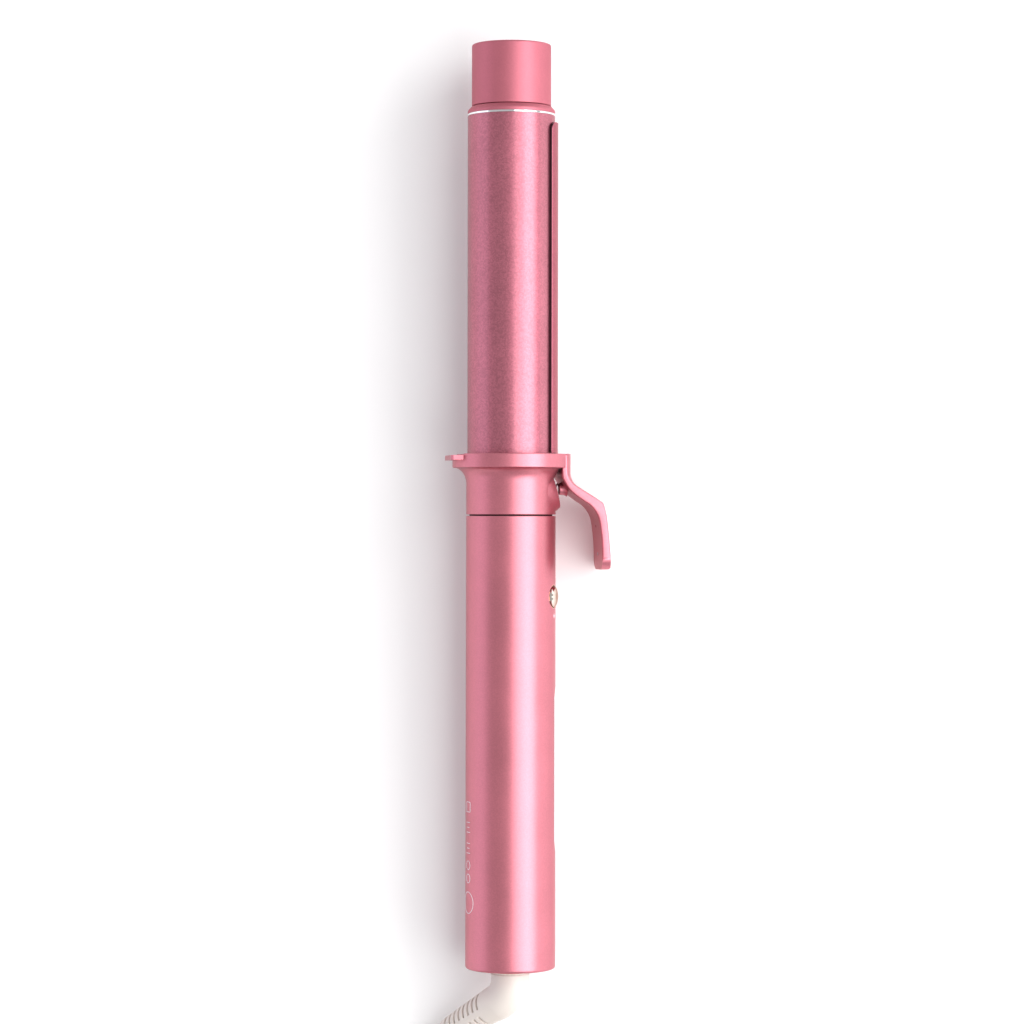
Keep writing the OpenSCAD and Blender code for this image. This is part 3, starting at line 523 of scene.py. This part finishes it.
def buttonWay(side):
    turn = np.radians(side * handle["buttonTurn"])
    return np.array([np.cos(turn), np.sin(turn), 0.0])


def windowCutter():
    # the window's outline, a strip with round ends, pushed through the shell
    half = handle["windowWide"] / 2
    a = np.radians(np.linspace(0, 180, 33))
    top = np.stack([half * np.cos(a), handle["windowHigh"] - half + half * np.sin(a)], -1)
    outline = np.vstack([top, [[0, handle["windowHigh"] + handle["windowLow"]]] - top])
    return prismAlong(outline, 5.0, 22.0, materials["rosePearl"])


def makeHandle():
    profile = filleted([
        (handle["inner"], 80), (handle["inner"], handle["low"]), (handle["lowRadius"], handle["low"]),
        (handle["highRadius"], handle["high"]), (handle["inner"], handle["high"]), (handle["inner"], 80),
    ], [0, handle["edge"], handle["topEdge"], 0])
    shell = turned("handleShell", profile, materials["rosePearl"], 256)
    holes = [("DIFFERENCE", windowCutter())]
    holeRadius = handle["buttonRadius"] + handle["bezel"]
    for side in (-1, 1):
        start = buttonWay(side) * 10 + [0, 0, handle["buttonHeight"]]
        holes.append(("DIFFERENCE", rodFrom(start, buttonWay(side), 12, holeRadius, materials["rosePearl"])))
    return fit(carve(shell, holes), "iron", "rose_satin", "handle_shell")


makeHandle()

capFloor = turned("handleEndCap", filleted(
    [(7.2, 1.5), (7.2, 0.12), (13.9, 0.12), (13.9, 14), (12.45, 14), (12.45, 3), (7.2, 3), (7.2, 1.5)],
    [0.15, 0.05, 0, 0, 0, 0]), materials["rosePearl"])
fit(capFloor, "iron", "rose_satin", "end_cap")
endRing = turned("endRing", filleted([(7.06, -0.6), (7.06, 0.1), (8.2, 0.1), (8.2, -0.55), (7.55, -1.3),
                                      (7.06, -1.3), (7.06, -0.6)], [0, 0.05, 0.3, 0.3, 0.05]),
                 materials["roseGold"])
fit(endRing, "iron", "rose_gold", "end_ring")
print("handle made")

# jewel buttons

jewel = {
    "facets": 16, "foot": 11.25, "girdle": 16.55, "crown": 0.55, "table": 0.95, "midShare": 0.78,
    "tableShare": 0.46,
}


def makeJewel(side, body, node):
    # rings of points turned half a step against each other, joined by flat triangles
    n, r = jewel["facets"], handle["buttonRadius"] - 0.05
    a = np.arange(n) * 2 * np.pi / n
    rings = [(r - 0.05, jewel["foot"], 0.0), (r, jewel["girdle"] - 0.45, 0.0), (r, jewel["girdle"], 0.0),
             (r * jewel["midShare"], jewel["girdle"] + jewel["crown"], 0.5),
             (r * jewel["tableShare"], jewel["girdle"] + jewel["table"], 0.0)]
    out = buttonWay(side)
    across = np.array([-out[1], out[0], 0.0])
    verts = []
    for radius, height, turn in rings:
        angle = a + turn * 2 * np.pi / n
        sideways = radius * np.cos(angle)[:, None] * across
        upward = radius * np.sin(angle)[:, None] * np.array([0, 0, 1.0])
        verts.append(out * height + sideways + upward + [0, 0, handle["buttonHeight"]])
    i = np.arange(n)
    j = np.roll(i, -1)
    faces = []
    for row in (0, n):
        faces += np.stack([i + row, j + row, j + row + n, i + row + n], -1).tolist()
    faces += np.stack([i + 2 * n, j + 2 * n, i + 3 * n], -1).tolist()
    faces += np.stack([j + 2 * n, j + 3 * n, i + 3 * n], -1).tolist()
    faces += np.stack([i + 3 * n, j + 3 * n, j + 4 * n], -1).tolist()
    faces += np.stack([i + 3 * n, j + 4 * n, i + 4 * n], -1).tolist()
    faces += [i[::-1].tolist(), (i + 4 * n).tolist()]
    piece = finishMesh("jewel_" + node, place(np.vstack(verts)), np.zeros((0, 4), int), faces, 2,
                       materials["crystal"])
    return fit(piece, body, "jewel", node)


makeJewel(-1, "button_up", "button_up")
makeJewel(1, "button_down", "button_down")
print("jewels made")

# collar with its flange and the lever's shroud

collar = {
    "radius": 16.35, "low": 165.8, "flareLow": 177.0, "flange": 182.8, "high": 187.9, "flangeRadius": 21.4,
    "edge": 0.4, "inner": 12.0, "neck": 8.55, "shroudHeight": 174.3, "shroudLow": 11.2, "shroudHigh": 6.1,
    "shroudFace": 17.9, "recess": 5.6, "recessDepth": 14.2, "recessHeight": 174.9, "bore": 2.4,
    "boreHeight": 175.2, "shroudLean": -17.5, "leanAt": 168.5, "notchIn": 12.9, "notchLow": 177.9,
    "notchHalf": 10.6, "tongueNotchHalf": 7.4, "leverNotchIn": 15.9, "earNotchLow": 182.3,
    "footLow": (-24, -10.35, 185.6), "footHigh": (-17.4, 10.35, 189),
}


def makeCollar():
    # a quarter ellipse flares to the flange; the shroud is joined on, then the notches are cut
    t = np.radians(np.linspace(0, 90, 25))
    spread = collar["flangeRadius"] - collar["edge"] - collar["radius"]
    flare = np.stack([collar["radius"] + spread * (1 - np.cos(t)),
                      collar["flareLow"] + (collar["flange"] - collar["flareLow"]) * np.sin(t)], -1)
    base = filleted([(13.9, 160), (13.9, collar["low"]), (collar["radius"], collar["low"]), flare[0]],
                    [0, 0.3])
    rim = filleted([flare[-1] - [0.3, 0], (collar["flangeRadius"], collar["flange"] + 0.02),
                    (collar["flangeRadius"], collar["high"]), (16.05, collar["high"])],
                   [collar["edge"], collar["edge"]])
    inner = [(16.05, 186.9), (14.8, 186.9), (14.8, 187.85), (collar["neck"], 187.85), (collar["neck"], 180.5),
             (collar["inner"], 180.5), (collar["inner"], 157.3), (13.9, 157.3), (13.9, 160)]
    body = turned("collar", np.vstack([base[:-1], flare, rim[1:], inner]), materials["rosePearl"], 256)
    pearl, face = materials["rosePearl"], collar["shroudFace"]
    shroud = rodFrom([collar["inner"], 0, collar["shroudHeight"]], [1, 0, 0], face - collar["inner"],
                     np.linspace(collar["shroudLow"], collar["shroudHigh"], 9), pearl, 128)
    carve(shroud, [
        ("DIFFERENCE", blockAt([face, -20, 150], [face + 20, 20, 200], pearl, collar["shroudLean"],
                               (face, collar["leanAt"]))),
        ("DIFFERENCE", blockAt([5, -20, 150], [30, 20, collar["low"] + 0.3], pearl)),
        ("DIFFERENCE", blockAt([5, -20, collar["flange"] - 0.3], [30, 20, 200], pearl)),
    ])
    # the notches leave room for the blade's tongue, the lever and the pivot's ears as the clamp opens
    half, tongue, top = collar["notchHalf"], collar["tongueNotchHalf"], collar["high"] + 1
    carve(body, [
        ("UNION", shroud),
        ("DIFFERENCE", blockAt([collar["notchIn"], -tongue, collar["notchLow"]], [26, tongue, top], pearl)),
        ("DIFFERENCE", blockAt([collar["leverNotchIn"], -half, collar["notchLow"]], [26, half, top], pearl)),
        ("DIFFERENCE", blockAt([collar["notchIn"], -half, collar["earNotchLow"]], [26, half, top], pearl)),
        ("DIFFERENCE", rodFrom([collar["recessDepth"], 0, collar["recessHeight"]], [1, 0, 0], 10,
                               collar["recess"], pearl, 96)),
        ("DIFFERENCE", blockAt(collar["footLow"], collar["footHigh"], pearl)),
    ])
    seat = rodFrom([collar["inner"] - 1.8, 0, collar["boreHeight"]], [1, 0, 0], 4.1, 6.8, pearl, 64)
    bore = rodFrom([9, 0, collar["boreHeight"]], [1, 0, 0], 12, collar["bore"], pearl, 48)
    carve(seat, [("DIFFERENCE", bore)])
    carve(body, [("UNION", seat)])
    return fit(body, "iron", "rose_satin", "collar")


makeCollar()
print("collar made")

# clamp blade, lever and their boss

clamp = {
    "inner": 16.3, "outer": 17.15, "half": 10.3, "corner": 3.0, "low": 188.2, "high": 308.6,
    "tongueHalf": 7.0, "tongueLow": 180.8, "rim": 0.25,
}


def makeClamp():
    # an arc-shaped section with round rims, carried up the barrel; it narrows over the free corners
    near = clamp["high"] - clamp["corner"] * (1 - np.sin(np.radians(np.linspace(0, 88, 16))))
    straight = np.linspace(clamp["low"], clamp["high"] - 3.01, 24)
    heights = np.concatenate([[clamp["tongueLow"], clamp["low"] - 0.02], straight, near])
    into = np.clip(heights - (clamp["high"] - clamp["corner"]), 0, clamp["corner"])
    half = clamp["half"] - clamp["corner"] + np.sqrt(clamp["corner"] ** 2 - into ** 2)
    half[:2] = clamp["tongueHalf"]
    middle, thick = (clamp["inner"] + clamp["outer"]) / 2, (clamp["outer"] - clamp["inner"]) / 2
    reach = np.arcsin(half / middle)
    t = np.linspace(-1, 1, 41)
    cap = np.radians(np.linspace(90, -90, 9))[1:-1]
    rimTurn = clamp["rim"] / middle
    outerTurn = t[None] * (reach[:, None] - rimTurn)
    rim = reach[:, None] - rimTurn + rimTurn * np.cos(cap)[None]
    rimRadius = middle + thick * np.sin(cap)
    turn = np.hstack([outerTurn, rim, outerTurn[:, ::-1], -rim])
    radius = np.concatenate([np.full(41, clamp["outer"]), rimRadius, np.full(41, clamp["inner"]),
                             rimRadius[::-1]])
    grid = np.stack([radius * np.cos(turn), radius * np.sin(turn),
                     np.repeat(heights[:, None], turn.shape[1], 1)], -1)
    blade = surface("clampBlade", place(grid), materials["roseBlade"], "face")
    # the blade's rims and inner side take the near-black finish, painted shade for the dark gap line along the
    # barrel
    blade.data.materials.append(materials["bladeGapShade"])
    centres = np.array([face.center[:] for face in blade.data.polygons])
    local = (centres - handleEnd) @ ironAxes.T * 1000
    dark = np.hypot(local[:, 0], local[:, 1]) < clamp["outer"] - 0.12
    blade.data.polygons.foreach_set("material_index", dark.astype(int).tolist())
    return fit(blade, "clamp_lever", "rose_barrel", "clamp")


makeClamp()

arm = {
    "half": 10.3, "rim": 0.55, "corner": 5.0, "end": 145.7, "bossHeight": 175.2, "bossTip": 17.6,
    "bossRadius": 2.2, "bossLong": 3.0, "bossFlare": 0.3, "pivot": 184.6, "pivotOut": 15.5, "earRadius": 1.7,
    "earWide": 3.0, "earBack": 18.4, "holeHeights": (151.4, 161.5), "holeRadius": 0.55,
}
# the lever's side view: the outer side from the flange to the thumb end, then back along the inner side
leverOuter = [
    (21.8, 187.9), (21.8, 184.4), (21.8, 180.9), (22.15, 178.9), (23.4, 176.9), (26.2, 174.9), (29.6, 172.7),
    (32.3, 170.9), (33.3, 170.1), (33.75, 168.9), (34.2, 166.4), (34.45, 164.6), (34.9, 159), (35.3, 153.8),
    (35.6, 149.4), (35.65, 146.7),
]
leverInner = [
    (32.4, 145.7), (32.3, 149), (32.15, 154), (31.85, 158.2), (31.0, 163.9), (29.6, 167.0),
    (27.8, 169.1), (25.3, 170.8), (22.6, 172.7), (20.6, 174.4), (19.5, 175.7), (18.6, 177.2),
    (17.6, 179.2), (17.35, 181.5), (17.3, 187.9),
]


def leverOutline():
    outer, inner = smoothLine(leverOuter, 6), smoothLine(leverInner, 6)
    end = filleted([outer[-1], (35.5, arm["end"]), inner[0]], [0.8], 5)
    return np.vstack([outer, end[1:-1], inner]), len(outer)


def bendLever(grid, outline):
    # crowns the outer side, most at the flange
    share = grid[..., 1] / arm["half"]
    crown = np.interp(outline[:, 1], [145, 158, 165, 170, 174, 178, 181, 188],
                      [0.15, 0.25, 0.5, 0.9, 1.3, 1.9, 2.4, 2.6])
    outerSide = np.zeros(len(outline))
    outerSide[:leverOuterCount] = 1
    grid[..., 0] -= crown * outerSide * share ** 2
    return grid


leverPoints, leverOuterCount = leverOutline()


def cornerCutter(side):
    # what lies outside a quarter circle at one corner of the thumb end
    c, r, end = arm["half"] - arm["corner"], arm["corner"], arm["end"]
    a = np.radians(np.linspace(0, -90, 17))
    arc = np.stack([c + r * np.cos(a), end + r + r * np.sin(a)], -1)
    outline = np.vstack([[[c + r + 1, end + r]], arc, [[c, end - 1], [c + r + 1, end - 1]]]) * [side, 1]
    return prismAlong(outline, 28.0, 40.0, materials["rosePearl"])


def makeLever():
    piece = plate("lever", leverPoints, -arm["half"], arm["half"], materials["rosePearl"], arm["rim"], 40, 24,
                  bendLever)
    holes = [("DIFFERENCE", rodFrom([30.0 + (164 - z) * 0.06, 0, z], [1, 0, 0.08], 2.0, arm["holeRadius"],
                                    materials["seam"], 24)) for z in arm["holeHeights"]]
    holes += [("DIFFERENCE", cornerCutter(side)) for side in (-1, 1)]
    return fit(carve(piece, holes, 40), "clamp_lever", "rose_satin", "lever")


makeLever()


def makeBoss():
    t = np.linspace(0, 1, 24)
    radius = arm["bossRadius"] * (1 + arm["bossFlare"] * t ** 3)
    radius[0] -= 0.35
    radius[1] -= 0.08
    piece = rodFrom([arm["bossTip"], 0, arm["bossHeight"]], [1, 0, 0], arm["bossLong"], radius,
                    materials["rosePearl"], 64)
    piece.name = "springBoss"
    return fit(piece, "clamp_lever", "rose_satin")


makeBoss()


def makeEars():
    # a round eye on the pivot, drawn out to the lever's back
    a = np.radians(np.linspace(90, 270, 25))
    r, pivot, back = arm["earRadius"], arm["pivot"], arm["earBack"]
    eye = np.stack([arm["pivotOut"] + r * np.cos(a), pivot + r * np.sin(a)], -1)
    outline = np.vstack([eye, [[back, pivot - r], [back, pivot + r]]])
    for side, low in (("near", -arm["half"]), ("far", arm["half"] - arm["earWide"])):
        ear = plate("pivotEar_" + side, outline, low, low + arm["earWide"], materials["rosePearl"],
                    0.15, 35, 4)
        fit(ear, "clamp_lever", "rose_satin")


makeEars()
print("clamp and lever made")

# spring under the boss

coilSpring = {"from": 10.4, "to": 17.4, "radius": 1.85, "wire": 0.27, "turns": 6.5, "height": 175.2}


def makeSpring():
    # a wire of round section on a helix whose axis points along the lever way
    t = np.linspace(0, 1, 320)
    a = 2 * np.pi * coilSpring["turns"] * t
    r, start, end = coilSpring["radius"], coilSpring["from"], coilSpring["to"]
    path = np.stack([start + (end - start) * t, r * np.cos(a), coilSpring["height"] + r * np.sin(a)], -1)
    ahead = np.gradient(path, axis=0)
    ahead /= np.linalg.norm(ahead, axis=1)[:, None]
    side = np.cross(ahead, [1.0, 0, 0])
    side /= np.linalg.norm(side, axis=1)[:, None]
    up = np.cross(side, ahead)
    b = np.linspace(0, 2 * np.pi, 10, endpoint=False)
    circle = np.cos(b)[None, :, None] * side[:, None] + np.sin(b)[None, :, None] * up[:, None]
    grid = path[:, None] + coilSpring["wire"] * circle
    return fit(surface("spring", place(grid), materials["steel"]), "clamp_lever", "steel", "clamp_spring")


makeSpring()

# printed marks on the handle

marks = {
    "lift": 0.02, "line": 0.13, "signHeight": 128.9, "signHalf": 0.75, "columnTurn": -166.0,
    "rings": ((24.6, 3.9), (33.4, 1.6), (38.2, 1.6)),
    "ticks": ((42.6, 1.6), (44.4, 1.1), (46.2, 1.6), (50.2, 1.6), (52.0, 1.1), (53.8, 1.6)),
    "frameHalf": 1.7, "frameLow": 57.6, "frameHigh": 61.2, "frameCorner": 0.5,
}


def onHandle(turnDegrees, across, height):
    # a point on the handle's skin, across in millimetres round it
    wider = handle["highRadius"] - handle["lowRadius"]
    r = handle["lowRadius"] + wider * np.asarray(height) / handle["high"] + marks["lift"]
    a = np.radians(turnDegrees) + np.asarray(across) / handle["lowRadius"]
    return np.stack([r * np.cos(a), r * np.sin(a), np.asarray(height) * np.ones_like(a)], -1)


def printLine(name, turnDegrees, across, height):
    points = onHandle(turnDegrees, np.asarray(across, float), np.asarray(height, float))
    piece = tubeAlong(name, place(points), marks["line"] / 1000, materials["print"], 8)
    return fit(piece, "iron", "white_plastic")


def makeMarks():
    # a plus and a minus by the buttons, and a column of plain rings, ticks and a small frame
    z, s = marks["signHeight"], marks["signHalf"]
    for side, name in ((-1, "plus"), (1, "minus")):
        turn = side * handle["buttonTurn"]
        printLine("sign_" + name, turn, np.linspace(-s, s, 5), np.full(5, z))
        if name == "plus":
            printLine("sign_upright", turn, np.zeros(5), np.linspace(z - s, z + s, 5))
    a = np.linspace(0, 2 * np.pi, 49)
    for i, (height, r) in enumerate(marks["rings"]):
        printLine(f"ringMark_{i}", marks["columnTurn"], r * np.cos(a), height + r * np.sin(a))
    for i, (height, half) in enumerate(marks["ticks"]):
        printLine(f"tickMark_{i}", marks["columnTurn"], np.linspace(-half, half, 7), np.full(7, height))
    half, low, high = marks["frameHalf"], marks["frameLow"], marks["frameHigh"]
    corners = [(-half, low), (half, low), (half, high), (-half, high), (-half, low)]
    path = filleted(corners, [marks["frameCorner"]] * 3, 4)
    printLine("frameMark", marks["columnTurn"], path[:, 0], path[:, 1])


makeMarks()
print("marks made")

# plug and tie

plug = {"at": (-18.0, -314.5, 6.8), "neck": 12.0, "body": 24.0, "half": 17.0, "thick": 6.75}


def makePlug():
    # superellipse sections along the plug: a ribbed neck, a spreading shoulder and a flat face
    n, half, thick = plug["neck"], plug["half"], plug["thick"]
    end = n + plug["body"]
    t = np.concatenate([np.linspace(0, n, 61), np.linspace(n, end, 50)[1:]])
    wide = np.interp(t, [0, n, n + 2, n + 6, n + 11, end - 1.0, end - 0.3, end],
                     [4, 6, 7.4, 12.5, 16.6, half, half - 0.2, half - 0.9])
    tall = np.interp(t, [0, n, n + 4, n + 10, end - 1.0, end - 0.3, end],
                     [4, 5.9, 6.4, thick, thick, thick - 0.2, thick - 0.8])
    rib = np.where(t < n - 1, 0.35 * (np.cos(t * 2 * np.pi / 2.2) < -0.2), 0)
    wide, tall = wide - rib, tall - rib
    power = np.interp(t, [0, n, n + 8], [2, 2, 3.4])
    a = np.linspace(0, 2 * np.pi, 96, endpoint=False)
    c, s = np.cos(a), np.sin(a)
    y = wide[:, None] * np.sign(c) * np.abs(c) ** (2 / power[:, None])
    z = tall[:, None] * np.sign(s) * np.abs(s) ** (2 / power[:, None])
    atX, atY, atZ = plug["at"]
    grid = np.stack([atX + np.repeat(t[:, None], 96, 1), atY + y, atZ + z], -1) / 1000
    return fit(surface("plugBody", grid, materials["ivory"], sharp=50), "cord_set", "ivory", "plug_body")


tie = {"inner": 22.5, "outer": 46.5, "low": 0.4, "high": 12.8, "wall": 0.7, "half": 6.0, "corner": 2.5}


def makeTie():
    # a flat band round the coil's section, its edges rounded, standing on the floor
    inner, outer, low, high, half = tie["inner"], tie["outer"], tie["low"], tie["high"], tie["half"]
    middle = filleted([(34, low), (outer, low), (outer, high), (inner, high), (inner, low), (34, low)],
                      [tie["corner"]] * 4, 8)[:-1]
    ahead = np.roll(middle, -1, 0) - np.roll(middle, 1, 0)
    normal = np.stack([ahead[:, 1], -ahead[:, 0]], -1) / np.linalg.norm(ahead, axis=1)[:, None]
    out = np.array([-1, -1, -0.6, 0.6, 1, 1, 0.6, -0.6]) * tie["wall"] / 2
    at = np.array([-half + 0.2, half - 0.2, half, half, half - 0.2, -half + 0.2, -half, -half])
    band = middle[:, None] + normal[:, None] * out[None, :, None]
    band = np.concatenate([band, band[:1]])
    x, y = lead["coilAt"]
    grid = np.stack([x + band[..., 0], y + np.repeat(at[None], len(band), 0), band[..., 1]], -1) / 1000
    return fit(surface("tieBand", grid, materials["strap"], "open", 60), "cord_set", "strap", "cord_tie")


plugBody = makePlug()
tieBand = makeTie()
print("plug and tie made")

# lights and floor

def softbox(name, turn, distance, wide, long, power, height=170.0, colour=(1, 1, 1)):
    # an area light turned round the iron's axis from the camera's side, its long edge along the iron
    turn = np.radians(turn)
    out = np.cos(turn) * viewBack + np.sin(turn) * viewRight
    data = bpy.data.lights.new(name, "AREA")
    data.shape, data.size, data.size_y, data.energy, data.color = "RECTANGLE", wide, long, power, colour
    lamp = bpy.data.objects.new(name, data)
    pose = np.eye(4)
    pose[:3, 1], pose[:3, 2] = tipWay, out
    pose[:3, 0] = np.cross(tipWay, out)
    pose[:3, 3] = place([0, 0, height]) + out * distance
    lamp.matrix_world = Matrix(pose.tolist())
    bpy.context.scene.collection.objects.link(lamp)
    return lamp


softbox("rightBox", 38, 0.9, 1.1, 1.5, 8.5)
softbox("rightCore", 48, 0.88, 0.45, 1.5, 5.5, colour=(1.0, 0.98, 0.97))
softbox("lowBox", 22, 0.86, 0.4, 0.5, 0.9, height=20)
softbox("leftBox", -84, 0.9, 0.7, 1.4, 2.7, colour=(0.86, 0.82, 1.0))


def makeFloor():
    t = np.linspace(-5, 5, 3)
    grid = np.stack(np.meshgrid(t, t), -1).reshape(-1, 2)
    verts = np.hstack([grid, np.full((9, 1), -0.0002)])
    index = np.arange(9).reshape(3, 3)
    quads = np.stack([index[:-1, :-1], index[:-1, 1:], index[1:, 1:], index[1:, :-1]], -1).reshape(-1, 4)
    floor = finishMesh("floor", verts, quads, [], 30, materials["floor"])


makeFloor()
world = bpy.data.worlds.new("studio")
bpy.context.scene.world = world
world.use_nodes = True
world.node_tree.nodes["Background"].inputs["Color"].default_value = (1, 1, 1, 1)
world.node_tree.nodes["Background"].inputs["Strength"].default_value = 0.52
bpy.context.scene.view_settings.view_transform = "Standard"
print("lights and floor made")
